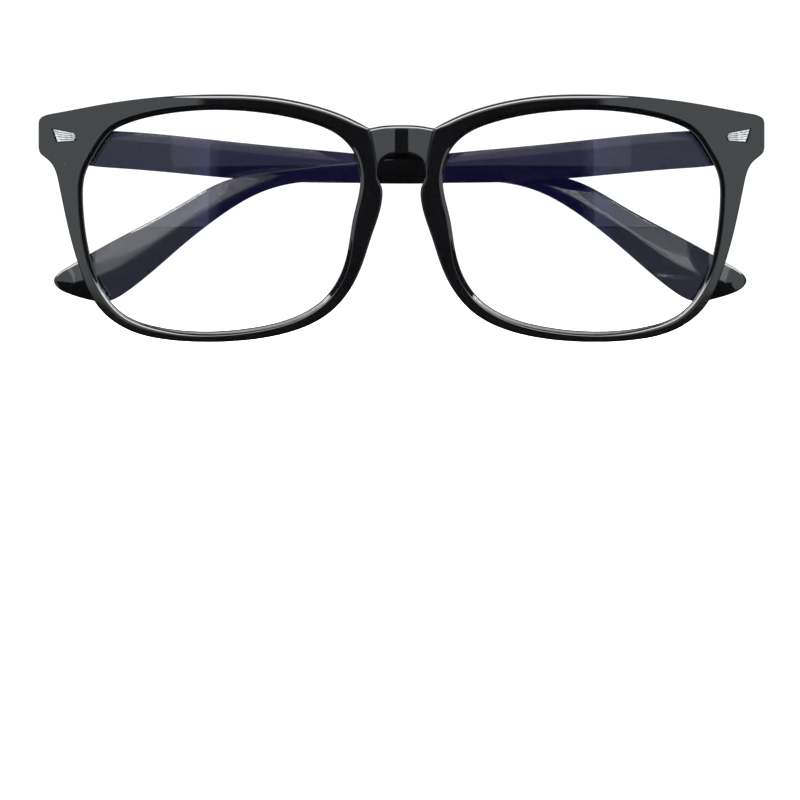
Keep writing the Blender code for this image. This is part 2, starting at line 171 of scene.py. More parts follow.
# One over the share of the length in which the grooves reach their full depth
INLAY_GROOVE_ENDS = 25.0
INLAY_POCKET_GAP = 0.2
INLAY_POCKET_DEPTHS = (-1.0, 0.7)

# ---- the temples' dimensions
# Outlines by distance behind the hinge axis and Z
TEMPLE_TOP = [(0.15, 44.0), (4.5, 42.6), (12.2, 41.8), (35.0, 39.65), (59.4, 37.35), (80.0, 35.2),
              (94.0, 33.7), (103.1, 31.9), (112.0, 27.15), (125.6, 19.8), (134.3, 14.9)]
TEMPLE_TIP = [(134.3, 14.9), (136.3, 13.5), (137.1, 12.2), (136.5, 10.9), (134.6, 9.7)]
TEMPLE_BOTTOM = [(134.6, 9.7), (129.8, 8.2), (126.2, 8.05), (122.4, 10.0), (112.0, 18.65), (103.9, 25.0),
                 (96.0, 29.6), (89.0, 31.5), (75.0, 31.5), (60.6, 31.5), (44.0, 31.8), (35.0, 32.4),
                 (12.3, 34.4), (6.5, 34.9), (0.15, 36.2)]
TEMPLE_SPINE = [(0.15, 40.1), (6.5, 40.0), (35.0, 37.5), (60.0, 35.2), (80.0, 33.7), (92.0, 32.3),
                (98.0, 30.3), (106.0, 26.1), (113.5, 21.4), (124.0, 14.2), (132.4, 11.6)]
# Where the top, the bottom and the inner spine correspond, from root to tip
TEMPLE_PAIRS = [((0.15, 44.0), (0.15, 36.2), (0.15, 40.1)), ((6.5, 42.4), (6.5, 34.9), (6.5, 40.0)),
                ((35.0, 39.6), (35.0, 32.4), (35.0, 37.5)), ((59.4, 37.1), (60.6, 31.5), (60.0, 34.9)),
                ((80.0, 35.1), (78.0, 31.5), (80.0, 33.6)), ((94.0, 33.7), (91.0, 31.3), (92.0, 32.2)),
                ((103.1, 32.1), (98.0, 29.1), (99.0, 29.9)), ((112.0, 27.4), (107.0, 22.9), (109.0, 24.5)),
                ((125.6, 19.8), (118.0, 13.9), (121.0, 16.5)), ((134.3, 14.9), (129.8, 8.2), (132.4, 11.6))]
TEMPLE_THICKNESS = 4.0
TEMPLE_TAPER = 0.8
TEMPLE_TAPER_LENGTH = 40.0
TEMPLE_EDGE = 0.45
TEMPLE_EDGE_TILT = math.radians(45.0)
# The edge's radius at the hinge, as a share, and where it grows to its full value
ROOT_EDGE_SHARE = 0.3
ROOT_EDGE_RANGE = (0.3, 3.0)
# Drop from the inner face's ridge to its edges, against the distance behind the hinge
INNER_CROWN = [(0.0, 0.36), (60.0, 0.36), (76.0, 0.08), (92.0, 0.08), (110.0, 0.95), (140.0, 0.95)]
# The drop holds for an edge this far from the ridge, and scales within these shares
CROWN_REACH = 3.4
CROWN_SCALE = (0.3, 1.3)
CROWN_RANGE = (-2.0, 8.0)
RIDGE_SOFTNESS = 0.25

# ---- the hinges' dimensions
EAR_RADIUS = 2.0
EAR_CLEARANCE = 0.2
EAR_ROOT = 0.6
LOWER_EAR = (36.6, 39.3)
UPPER_EAR = (42.0, 44.1)
KNUCKLE_GAP = 0.15
BARREL_EDGE = 0.15
BORE_RADIUS = 0.69
SEAT_GAP = 0.1
SEAT_DEPTH = 0.8
SCREW_RADIUS = 0.6
SCREW_HEAD_RADIUS = 1.1
SCREW_HEAD_HEIGHT = 0.55
# The head's dome: share of its radius, and depth below its top
SCREW_DOME = [(0.45, 0.01), (0.75, 0.07), (0.93, 0.18), (1.0, 0.32)]
SCREW_HEAD_CHAMFER = 0.03
SCREW_TIP_CHAMFER = 0.12
SLOT_HALF_WIDTH = 0.14
SLOT_HALF_LENGTH = 2.0
SLOT_DEPTH = 0.28
# Heights well below and above what a cutter cuts
CUT_LOW = 30.0
CUT_HIGH = 50.0
FRONT_CUT_LOW = 35.9
FRONT_CUT_HIGH = 46.0
CUT_OVER = 1.0

# ---- density of the meshes
SPLINE_STEP = 0.2
COLUMN_STEP = 0.45
TEMPLE_STEP = 0.8
TIP_STEP = 0.5
FACE_ROWS = 14
WALL_ROWS = 7
BLEND_ROWS = 8
EDGE_ROWS = 9
REAR_EDGE_ROWS = 4
BRIDGE_COLUMNS = 61
BRIDGE_ROWS = {"top": 7, "low": 5, "rear": 8}
LENS_COLUMNS = 260
# Rings of the lens's faces, as shares of the way from its middle to its edge
LENS_RINGS = np.concatenate([np.linspace(0.04, 0.97, 26), [0.99, 1.0]])
INLAY_STEPS = (26, 81)
TEMPLE_ROWS = {"inner": 12, "edge": 6, "outer": 8}
ROOT_ROWS = 12
BARREL_STEPS = 25
TURN_STEPS = 64

# ---- camera and lights
# In metres, and in degrees from the camera's own direction
CAMERA_DISTANCE = 2.5
CAMERA_HEIGHT = 0.0245
SENSOR_WIDTH = 36.0
CLIP_END = 50.0
FRAME_WIDTH = 0.1582
FRAME_X = -0.0003
FRAME_Z = -0.0114
SURROUND_STRENGTH = 1.2
LIGHT_AIM = (0.0, 0.0, 0.02)
SIDE_LIGHT_TO = 62.0
SIDE_LIGHT_REACH = 1.2
SIDE_LIGHT_LOW = 0.003
SIDE_LIGHT_HEIGHT = 0.9
SIDE_RADIANCE = 1.5
SIDE_COLOUR = (0.92, 1.0, 1.02)
# Strips that fade the side softboxes in: where each starts, and its share of the radiance
SIDE_STRIPS = [(15.1, 0.5), (15.5, 1.0)]
# Where the side softboxes reach below the floor's level, for the slopes beside the nose
LOW_WING = (42.0, 62.0)
LOW_WING_DROP = 0.55
HIGH_LIGHT_REACH = 1.3
# Lights above the camera: name, lowest and highest elevation, half width, radiance
ELEVATED_LIGHTS = [("low fill", 10.0, 17.0, 0.5, 0.7),
                   ("upper softbox", 17.0, 42.0, 0.5, 1.9),
                   ("top strip", 42.0, 74.0, 1.5, 17.0)]
# Lights behind the object: name, place, width, height, radiance
REAR_LIGHTS = [("rear softbox", (0.0, 1.5, 0.9), 1.6, 0.7, 1.8),
               ("rear left", (1.2, 0.9, 0.45), 0.9, 0.9, 1.8),
               ("rear right", (-1.2, 0.9, 0.45), 0.9, 0.9, 1.8),
               ("overhead", (0.0, 0.6, 1.2), 1.2, 0.5, 1.5)]
# Lights for the coated lenses only: a violet veil, and the side softboxes carried on inwards and down
VEIL_PLACE = (0.0, -1.4, 0.05)
VEIL_AIM = (0.0, 0.0, 0.03)
VEIL_SIZE = (0.9, 1.6)
VEIL_RADIANCE = 1.05
VEIL_COLOUR = (0.20, 0.16, 1.0)
LENS_STRIPS = [(13.6, 0.2), (14.2, 0.45), (14.7, 0.75)]
LENS_LIGHT_DROP = 0.35
# The floor's half size, in millimetres, and its two greys
FLOOR_HALF_SIZE = 6000.0
FLOOR_GREYS = (0.90, 0.94)
# The floor shows in reflections only behind the object, fading in over this range of Y, and only in part
FLOOR_SHOWS = (0.07, 0.2)
FLOOR_HIDDEN = 0.65


# ---- curves
def spline(points, closed=False, step=SPLINE_STEP):
    """A smooth line (C2 cubic) through points, sampled about every step millimetres."""
    p = np.array(points, float)
    if closed:
        p = np.vstack([p, p[:1]])
    h = np.linalg.norm(np.diff(p, axis=0), axis=1)
    count = len(h)
    if count == 1:
        shares = np.linspace(0.0, 1.0, max(2, int(h[0] / step)) + 1)[:, None]
        return p[0] + (p[1] - p[0]) * shares
    size = count if closed else count + 1
    matrix = np.zeros((size, size))
    right = np.zeros((size, p.shape[1]))
    slopes = np.diff(p, axis=0) / h[:, None]
    for i in range(size):
        if not closed and i in (0, size - 1):
            matrix[i, i] = 1.0
            continue
        matrix[i, (i - 1) % size] += h[i - 1]
        matrix[i, i] += 2 * (h[i - 1] + h[i % count])
        matrix[i, (i + 1) % size] += h[i % count]
        right[i] = 6 * (slopes[i % count] - slopes[i - 1])
    bend = np.linalg.solve(matrix, right)
    if closed:
        bend = np.vstack([bend, bend[:1]])
    result = []
    for i in range(count):
        steps = max(2, math.ceil(h[i] / step))
        for t in np.arange(steps) / steps * h[i]:
            u = h[i] - t
            curve = (bend[i] * u**3 + bend[i + 1] * t**3) / (6 * h[i])
            line = (p[i] / h[i] - bend[i] * h[i] / 6) * u + (p[i + 1] / h[i] - bend[i + 1] * h[i] / 6) * t
            result.append(curve + line)
    if not closed:
        result.append(p[-1])
    return np.array(result)


class Track:
    """A line in X and Z that is measured along its length."""

    def __init__(self, points, closed=False):
        self.closed = closed
        self.points = np.vstack([points, points[:1]]) if closed else points
        pieces = np.linalg.norm(np.diff(self.points, axis=0), axis=1)
        self.reach = np.concatenate([[0.0], np.cumsum(pieces)])
        self.length = self.reach[-1]

    def at(self, s):
        s = np.mod(s, self.length) if self.closed else np.clip(s, 0.0, self.length)
        x = np.interp(s, self.reach, self.points[:, 0])
        z = np.interp(s, self.reach, self.points[:, 1])
        return np.stack([x, z], axis=-1)

    def left_of(self, s, reach=0.35):
        """The unit normal on the left of the direction of travel."""
        along = self.at(s + reach) - self.at(s - reach)
        along /= np.linalg.norm(along, axis=-1, keepdims=True)
        return np.stack([-along[..., 1], along[..., 0]], axis=-1)

    def nearest(self, point):
        return self.reach[np.argmin(np.linalg.norm(self.points - np.array(point), axis=1))]


def columns(marks, step, tracks):
    """Matching places from mark to mark, at most step apart on the first so many tracks."""
    places = []
    for before, after in zip(np.array(marks), np.array(marks[1:])):
        count = math.ceil(max((after - before)[:tracks]) / step)
        places.append(before + (after - before) * (np.arange(count) / count)[:, None])
    return places


def smoothstep(low, high, value):
    t = np.clip((value - low) / (high - low), 0.0, 1.0)
    return t * t * (3 - 2 * t)


def wrap_depth(x):
    """How far the wrapped front lies behind the bridge's front."""
    return WRAP_RADIUS - np.sqrt(WRAP_RADIUS**2 - np.square(x))


def lens_depth(x, z):
    """Depth of the lens's middle surface behind the bridge's front."""
    flat = np.square(x - LENS_CENTRE[0]) + np.square(z - LENS_CENTRE[2])
    return LENS_CENTRE[1] - np.sqrt(LENS_RADIUS**2 - flat)


# ---- meshes
def add(name, data):
    obj = bpy.data.objects.new(name, data)
    bpy.context.scene.collection.objects.link(obj)
    return obj


def mesh_object(name, vertices, faces, smooth_angle=35.0):
    """An object from vertices in millimetres."""
    mesh = bpy.data.meshes.new(name)
    mesh.from_pydata([tuple(np.array(v) * MM) for v in vertices], [], faces)
    obj = add(name, mesh)
    tidy_mesh(obj, smooth_angle)
    return obj


def tidy_mesh(obj, smooth_angle=35.0):
    """Welds the mesh, turns its faces outwards and smooths it, save at edges sharper than the angle."""
    bm = bmesh.new()
    bm.from_mesh(obj.data)
    bmesh.ops.remove_doubles(bm, verts=bm.verts, dist=0.0005 * MM)
    bmesh.ops.dissolve_degenerate(bm, edges=bm.edges, dist=0.0002 * MM)
    bmesh.ops.recalc_face_normals(bm, faces=bm.faces)
    bm.to_mesh(obj.data)
    bm.free()
    obj.data.shade_smooth()
    obj.data.set_sharp_from_angle(angle=math.radians(smooth_angle))


def boolean(obj, other, operation):
    """Applies one Boolean at once and removes the other object."""
    modifier = obj.modifiers.new("cut", "BOOLEAN")
    modifier.operation = operation
    modifier.solver = "MANIFOLD"
    modifier.object = other
    graph = bpy.context.evaluated_depsgraph_get()
    result = bpy.data.meshes.new_from_object(obj.evaluated_get(graph))
    obj.modifiers.clear()
    old = obj.data
    obj.data = result
    bpy.data.meshes.remove(old)
    bpy.data.objects.remove(other, do_unlink=True)


def prism_faces(count):
    """The two ends and the walls of a prism whose count corners are given twice."""
    faces = [tuple(range(count)), tuple(range(count, 2 * count))]
    for i in range(count):
        after = (i + 1) % count
        faces.append((i, after, after + count, i + count))
    return faces


def prism(name, polygon, low, high, along="z"):
    """A closed prism along Z over a polygon in X and Y, or along Y over one in X and Z."""
    vertices = []
    for level in (low, high):
        for x, other in polygon:
            vertices.append((x, other, level) if along == "z" else (x, level, other))
    return mesh_object(name, vertices, prism_faces(len(polygon)))


def turned(name, profile, x, y, steps=TURN_STEPS):
    """A turned solid: profile points (radius, z) from the top of the axis to its bottom."""
    vertices = []
    rings = []
    for radius, z in profile:
        if radius == 0.0:
            rings.append([len(vertices)] * steps)
            vertices.append((x, y, z))
            continue
        rings.append(list(range(len(vertices), len(vertices) + steps)))
        for k in range(steps):
            turn = 2 * math.pi * k / steps
            vertices.append((x + radius * math.cos(turn), y + radius * math.sin(turn), z))
    faces = []
    pairs = list(zip(rings, rings[1:]))
    if profile[0][0] > 0.0:
        pairs.append((rings[-1], rings[0]))
    for upper, lower in pairs:
        for k in range(steps):
            after = (k + 1) % steps
            corners = [upper[k], upper[after], lower[after], lower[k]]
            faces.append(tuple(dict.fromkeys(corners)))
    return mesh_object(name, vertices, faces)


def cylinder(name, radius, low_z, high_z, x=0.0, y=0.0):
    return turned(name, [(0.0, high_z), (radius, high_z), (radius, low_z), (0.0, low_z)], x, y)


def fillet(radius, steps):
    """(distance in from the edge, depth below the face) round a quarter circle, from the face on."""
    turns = np.linspace(0.0, math.pi / 2, steps + 1)
    return [(radius * (1 - math.sin(t)), radius * (1 - math.cos(t))) for t in turns]


def between(rows):
    """Shares of the way from one end to the other, without the ends."""
    return np.linspace(0.0, 1.0, rows)[1:-1]


# ---- front
def ring_columns():
    """The outline and opening tracks, and where each column starts and ends on them."""
    parts = [spline(line)[:-1] for line in (BROW, SIDE, RIM, VALLEY)]
    outline = Track(np.vstack(parts), closed=True)
    opening = Track(spline(OPENING, closed=True), closed=True)
    marks = [[outline.nearest(a), opening.nearest(b)] for a, b in RIM_PAIRS]
    marks.append(list(marks[0]))
    for before, after in zip(marks, marks[1:]):
        for index, track in enumerate((outline, opening)):
            while after[index] <= before[index]:
                after[index] += track.length
    places = np.vstack(columns(marks, COLUMN_STEP, 2))
    return outline, opening, places[:, 0], places[:, 1]


def pad_swell(x, z):
    """1 on the nose pad, falling to 0 above and below it."""
    low = smoothstep(PAD_BOTTOM, PAD_BOTTOM + PAD_FADE["low"], z)
    high = 1.0 - smoothstep(PAD_TOP - PAD_FADE["high"], PAD_TOP, z)
    return low * high * (x < PAD_TO_X)


def evened(values, reach=6):
    """Values round the rim, each averaged with its neighbours."""
    return sum(np.roll(values, k) for k in range(-reach, reach + 1)) / (2 * reach + 1)


def edge_radii(outer):
    """The outer edge's radius at each column, and the tilt at which its rounding leaves the face."""
    x, z = outer[:, 0], outer[:, 1]
    outside = smoothstep(*OUTSIDE_X, x)
    valley = (z > VALLEY_FROM_Z) * (x < VALLEY_TO_X)
    radii = np.where(z > BROW_FROM_Z, EDGE_RADIUS["brow"], EDGE_RADIUS["elsewhere"])
    radii = radii + (EDGE_RADIUS["outside"] - radii) * outside
    radii = np.where(valley, EDGE_RADIUS["valley"], radii)
    return evened(radii), evened(OUTSIDE_EDGE_TILT * outside)


def mixed(values, first, second, share):
    return values[first] + (values[second] - values[first]) * share


def bevel_slopes(inner, scale):
    """The bevel of the lens opening, as pairs of (distance out, depth) for every column."""
    x, z = inner[:, 0], inner[:, 1]
    nose = (1.0 - smoothstep(*NOSE_SIDE["x"], x)) * smoothstep(*NOSE_SIDE["z"], z)
    low = smoothstep(*OUTER_LOW["x"], x) * (1.0 - smoothstep(*OUTER_LOW["z"], z))
    reach = evened(mixed(SLOPE_WIDTH, "outside", "nose", nose)) * scale
    blend = evened(mixed(BLEND_RADIUS, "elsewhere", "outer_low", low)) * scale
    tilt = evened(mixed(SLOPE_TILT, "outside", "nose", nose))
    foot = reach - blend * np.sin(tilt)
    lip = LIP * scale
    deep = blend * (1 - np.cos(tilt)) + (foot - lip) * np.tan(tilt)
    pairs = [(lip * share, deep + sunk) for share, sunk in LIP_PROFILE]
    for share in SLOPE_SHARES:
        d = lip + (foot - lip) * share
        pairs.append((d, blend * (1 - np.cos(tilt)) + (foot - d) * np.tan(tilt)))
    for share in np.linspace(1.0, 0.0, BLEND_ROWS):
        turn = tilt * share
        pairs.append((reach - blend * np.sin(turn), blend * (1 - np.cos(turn))))
    return pairs


def rim_rows():
    """Closed cross-sections of one rim as rows of (x, depth, z), each as long as the rim."""
    outline, opening, outer_s, inner_s = ring_columns()
    outer = outline.at(outer_s)
    inner = opening.at(inner_s)
    inward = -outline.left_of(outer_s)
    outward = opening.left_of(inner_s)
    width = np.linalg.norm(outer - inner, axis=1)
    scale = np.minimum(1.0, width / NARROW_RIM)
    edge, tilt = edge_radii(outer)
    edge = edge * scale
    slope = bevel_slopes(inner, scale)
    swell = pad_swell(outer[:, 0], outer[:, 1])
    middle = (outer + inner) / 2
    rows = []

    def row(place, depth):
        rear = smoothstep(PAD_FROM_DEPTH, RIM_DEPTH, depth) * swell
        place = place + inward * (PAD_SPLAY * rear)[:, None]
        place = place + (middle - place) * (PAD_NARROWING * rear)[:, None]
        x = place[:, 0]
        rows.append(np.column_stack([x, wrap_depth(x) + depth + PAD_HEIGHT * rear, place[:, 1]]))

    for d, depth in slope:
        row(inner + outward * d[:, None], depth)
    start = inner + outward * slope[-1][0][:, None]
    end = outer + inward * (edge * (1 - np.sin(tilt)))[:, None]
    for t in between(FACE_ROWS):
        row(start + (end - start) * t, 0.0)
    for share in np.linspace(0.0, 1.0, EDGE_ROWS):
        turn = tilt + (math.pi / 2 - tilt) * share
        row(outer + inward * (edge * (1 - np.sin(turn)))[:, None], edge * (np.cos(tilt) - np.cos(turn)))
    wall_top = edge * np.cos(tilt)
    wall_end = RIM_DEPTH - REAR_EDGE_RADIUS
    for t in between(WALL_ROWS):
        row(outer, wall_top + (wall_end - wall_top) * t)
    for d, depth in reversed(fillet(REAR_EDGE_RADIUS, REAR_EDGE_ROWS)):
        row(outer + inward * d, RIM_DEPTH - depth)
    start = outer + inward * REAR_EDGE_RADIUS
    end = inner + outward * REAR_INNER_RADIUS
    for t in between(FACE_ROWS):
        row(start + (end - start) * t, RIM_DEPTH)
    for d, depth in fillet(REAR_INNER_RADIUS, REAR_EDGE_ROWS):
        row(inner + outward * d, RIM_DEPTH - depth)
    wall_top = RIM_DEPTH - REAR_INNER_RADIUS
    wall_end = slope[0][1]
    for t in between(WALL_ROWS):
        row(inner, wall_top + (wall_end - wall_top) * t)
    return np.array(rows)


def woven(rows, wrap_columns, wrap_rows=True, first=0):
    """Quad faces of a grid of vertices numbered row by row."""
    row_count, column_count = rows
    faces = []
    for r in range(row_count if wrap_rows else row_count - 1):
        after = (r + 1) % row_count
        for c in range(column_count if wrap_columns else column_count - 1):
            beside = (c + 1) % column_count
            corners = (r * column_count + c, r * column_count + beside)
            corners += (after * column_count + beside, after * column_count + c)
            faces.append(tuple(first + corner for corner in corners))
    return faces


def world_of(rows, side):
    """World places of (x, depth, z) rows on one side."""
    flat = rows.reshape(-1, 3)
    return np.column_stack([side * flat[:, 0], FRONT_Y + flat[:, 1], flat[:, 2]])


def rim(side):
    rows = rim_rows()
    faces = woven(rows.shape[:2], True)
    return mesh_object(f"rim {side}", world_of(rows, side), faces)


def saddle_depth(x):
    return SADDLE_SLOPE * SADDLE_REACH * np.log(np.cosh(x / SADDLE_REACH))


def bridge():
    """The raised saddle over the keyhole, its ends buried in the rims."""
    mirror = np.array([-1.0, 1.0])
    tracks = []
    for line, end in ((BRIDGE_TOP, BRIDGE_TOP_END), (KEYHOLE, BRIDGE_LOW_END)):
        half = np.vstack([spline(line)[::-1], [end]])
        tracks.append(Track(np.vstack([(half * mirror)[:0:-1], half])))
    top, low = tracks
    shares = np.linspace(0.0, 1.0, BRIDGE_COLUMNS)
    high = top.at(top.length * shares)
    deep = low.at(low.length * shares)
    down = -top.left_of(top.length * shares)
    up = low.left_of(low.length * shares)
    rows = []

    def row(place, depth):
        rows.append(np.column_stack([place[:, 0], np.broadcast_to(depth, len(place)), place[:, 1]]))

    def front_row(place, depth):
        row(place, saddle_depth(place[:, 0]) + depth)

    for d, depth in reversed(fillet(BRIDGE_TOP_EDGE, BRIDGE_ROWS["top"])):
        front_row(high + down * d, depth)
    start = high + down * BRIDGE_TOP_EDGE
    end = deep + up * BRIDGE_LOW_EDGE
    for t in between(FACE_ROWS):
        front_row(start + (end - start) * t, 0.0)
    for d, depth in fillet(BRIDGE_LOW_EDGE, BRIDGE_ROWS["low"]):
        front_row(deep + up * d, depth)
    back = fillet(REAR_EDGE_RADIUS, REAR_EDGE_ROWS)
    heel = HEEL_DROP * np.clip(1.0 - np.square(deep[:, 0] / HEEL_REACH), 0.0, 1.0)
    deep = deep - np.column_stack([np.zeros_like(heel), heel])
    for d, depth in reversed(back):
        row(deep + up * d, BRIDGE_DEPTH - depth)
    start = deep + up * REAR_EDGE_RADIUS
    end = high + down * REAR_EDGE_RADIUS
    for t in between(BRIDGE_ROWS["rear"]):
        row(start + (end - start) * t, BRIDGE_DEPTH)
    for d, depth in back:
        row(high + down * d, BRIDGE_DEPTH - depth)
    rows = np.array(rows)
    row_count, column_count = rows.shape[:2]
    faces = woven((row_count, column_count), False)
    faces.append(tuple(r * column_count for r in range(row_count)))
    faces.append(tuple(r * column_count + column_count - 1 for r in range(row_count)))
    return mesh_object("bridge", world_of(rows, 1), faces)


def rounded(points, radius, steps=4):
    """A polygon with every corner rounded."""
    result = []
    count = len(points)
    for i in range(count):
        here = Vector(points[i])
        before = Vector(points[i - 1]) - here
        after = Vector(points[(i + 1) % count]) - here
        reach = min(radius, before.length * CORNER_SHARE, after.length * CORNER_SHARE)
        start = here + before.normalized() * reach
        end = here + after.normalized() * reach
        for k in range(steps + 1):
            t = k / steps
            result.append(tuple(start * (1 - t) ** 2 + here * 2 * t * (1 - t) + end * t * t))
    return result


def end_piece(side):
    """The block behind the rim's corner that carries the hinge."""
    shelf = HINGE_Y - BARREL_BAY_DEPTH
    back = HINGE_Y - BUTT_GAP
    outer = HALF_WIDTH - HAIRLINE
    plan = [(END_PIECE_X, shelf), (BARREL_BAY_X, shelf), (BARREL_BAY_X, back), (outer, back)]
    plan.append((outer, FRONT_Y + wrap_depth(outer) + END_PIECE_SUNK["outer"]))
    plan = rounded(plan, END_PIECE_CORNER)
    plan.append((END_PIECE_X, FRONT_Y + wrap_depth(END_PIECE_X) + END_PIECE_SUNK["inner"]))
    plan = [(side * x, y) for x, y in plan]
    block = prism(f"end piece {side}", plan, CUT_LOW, CUT_HIGH)
    trim_x = END_PIECE_X - TRIM_MARGIN
    brow_part = [p for p in spline(BROW) if p[0] > trim_x]
    rim_part = [p for p in spline(RIM) if p[1] > END_PIECE_Z]
    corner = np.array(brow_part + SIDE[1:] + rim_part)
    middle = np.array(END_PIECE_MIDDLE)
    corner = corner + (middle - corner) / np.linalg.norm(middle - corner, axis=1)[:, None] * HAIRLINE
    line = [(side * x, z) for x, z in corner]
    line.append((side * trim_x, END_PIECE_Z + TRIM_RISE))
    trim = prism("end piece trim", line, FRONT_Y, HINGE_Y + 2 * CUT_OVER, along="y")
    boolean(block, trim, "INTERSECT")
    return block


def barrel(name, x, y, low, high, root):
    """A hinge barrel with softened ends and a web that roots it at root, a place in Y."""
    soft = BARREL_EDGE
    turns = np.linspace(0.0, math.pi, BARREL_STEPS)
    rings = [(soft, low), (0.0, low + soft), (0.0, high - soft), (soft, high)]
    vertices = []
    for inset, z in rings:
        radius = EAR_RADIUS - inset
        for t in turns:
            vertices.append((x + radius * math.cos(t), y + radius * math.sin(t), z))
        vertices.append((x - radius, root, z))
        vertices.append((x + radius, root, z))
    count = len(turns) + 2
    faces = woven((len(rings), count), True, wrap_rows=False)
    faces.append(tuple(range(count)))
    last = (len(rings) - 1) * count
    faces.append(tuple(range(last, last + count)))
    return mesh_object(name, vertices, faces)


def pocket(side):
    """The cutter for the inlay's pocket."""
    outline = inlay_outline(INLAY_POCKET_GAP)
    vertices = []
    for depth in INLAY_POCKET_DEPTHS:
        for x, z in outline:
            vertices.append((side * x, FRONT_Y + wrap_depth(x) + depth, z))
    return mesh_object("pocket", vertices, prism_faces(len(outline)))


def front():
    """Rims, bridge, end pieces and hinge ears as one moulding."""
    whole = rim(1)
    boolean(whole, rim(-1), "UNION")
    boolean(whole, bridge(), "UNION")
    root = HINGE_Y - BARREL_BAY_DEPTH - EAR_ROOT
    seat_radius = SCREW_HEAD_RADIUS + SEAT_GAP
    seat_floor = UPPER_EAR[1] - SEAT_DEPTH
    for side in SIDES.values():
        boolean(whole, end_piece(side), "UNION")
        x = side * HINGE_X
        for low, high in (LOWER_EAR, UPPER_EAR):
            boolean(whole, barrel("ear", x, HINGE_Y, low, high, root), "UNION")
        bore = cylinder("bore", BORE_RADIUS, FRONT_CUT_LOW, FRONT_CUT_HIGH, x, HINGE_Y)
        boolean(whole, bore, "DIFFERENCE")
        seat = cylinder("seat", seat_radius, seat_floor, FRONT_CUT_HIGH, x, HINGE_Y)
        boolean(whole, seat, "DIFFERENCE")
        boolean(whole, pocket(side), "DIFFERENCE")
    whole.name = "front_moulding"
    tidy_mesh(whole, 32.0)
    return whole


# ---- lenses
def lens(label, side):
    """A polished shell: its edge follows the rim's groove, and its faces are true spheres."""
    opening = Track(spline(OPENING, closed=True), closed=True)
    stations = np.linspace(0.0, opening.length, LENS_COLUMNS, endpoint=False)
    edge = opening.at(stations) + opening.left_of(stations) * LENS_SEAT
    centre = np.array(LENS_MIDDLE)
    half = LENS_THICKNESS / 2
    vertices = []
    for face, order in ((-half, LENS_RINGS), (half, LENS_RINGS[::-1])):
        for share in order:
            place = centre + (edge - centre) * share
            depth = lens_depth(place[:, 0], place[:, 1]) + face
            for (x, z), y in zip(place, depth):
                vertices.append((side * x, FRONT_Y + y, z))
    count = len(stations)
    ring_count = 2 * len(LENS_RINGS)
    faces = woven((ring_count, count), True, wrap_rows=False)
    faces.append(tuple(range(count)))
    last = (ring_count - 1) * count
    faces.append(tuple(range(last, last + count)))
    return mesh_object(f"lens_{label}_polished", vertices, faces, 40.0)


# ---- inlays
def inlay_place(along, across):
    """A place on the fan: along from its wide outer end to its tip, across from its low edge to its high."""
    outer = np.array(INLAY["outer_low"]) * (1 - across) + np.array(INLAY["outer_top"]) * across
    inner = np.array(INLAY["inner_low"]) * (1 - across) + np.array(INLAY["inner_top"]) * across
    inner = inner + np.array([-INLAY_TIP_BULGE * math.sin(math.pi * across), 0.0])
    return outer * (1 - along) + inner * along


def inlay_outline(gap):
    """The fan's outline, grown by gap, as a closed list of places."""
    line = [inlay_place(a, 1.0) for a in np.linspace(0.0, 0.9, 8)]
    line += [inlay_place(1.0, b) for b in np.linspace(1.0, 0.0, 12)]
    line += [inlay_place(a, 0.0) for a in np.linspace(0.9, 0.0, 8)]
    line += [inlay_place(0.0, b) for b in np.linspace(0.15, 0.85, 5)]
    line = np.array(line)
    middle = line.mean(axis=0)
    away = line - middle
    return line + away / np.linalg.norm(away, axis=1)[:, None] * gap


def inlay(label, side):
    """A pressed fan with ribs that run from its wide end towards its tip."""
    along_steps, across_steps = INLAY_STEPS
    places = []
    for i in range(along_steps):
        for j in range(across_steps):
            places.append((i / (along_steps - 1), j / (across_steps - 1)))
    vertices = []
    for along, across in places:
        x, z = inlay_place(along, across)
        groove = across * INLAY_RIBS
        rise = min(1.0, abs(groove - round(groove)) / INLAY_GROOVE_SHARE)
        border = min(along, 1 - along) * INLAY_GROOVE_ENDS
        lift = INLAY_PROUD - INLAY_GROOVE_DEPTH * (1.0 - rise * min(1.0, border))
        vertices.append((side * x, FRONT_Y + wrap_depth(x) - lift, z))
    top_count = len(vertices)
    for along, across in places:
        x, z = inlay_place(along, across)
        vertices.append((side * x, FRONT_Y + wrap_depth(x) + INLAY_SUNK, z))
    faces = woven(INLAY_STEPS, False, wrap_rows=False)
    faces += woven(INLAY_STEPS, False, wrap_rows=False, first=top_count)
    ring = list(range(across_steps))
    ring += [i * across_steps + across_steps - 1 for i in range(1, along_steps)]
    ring += [(along_steps - 1) * across_steps + j for j in range(across_steps - 2, -1, -1)]
    ring += [i * across_steps for i in range(along_steps - 2, 0, -1)]
    for a, b in zip(ring, ring[1:] + ring[:1]):
        faces.append((a, b, b + top_count, a + top_count))
    return mesh_object(f"inlay_{label}_ribbed", vertices, faces, 28.0)


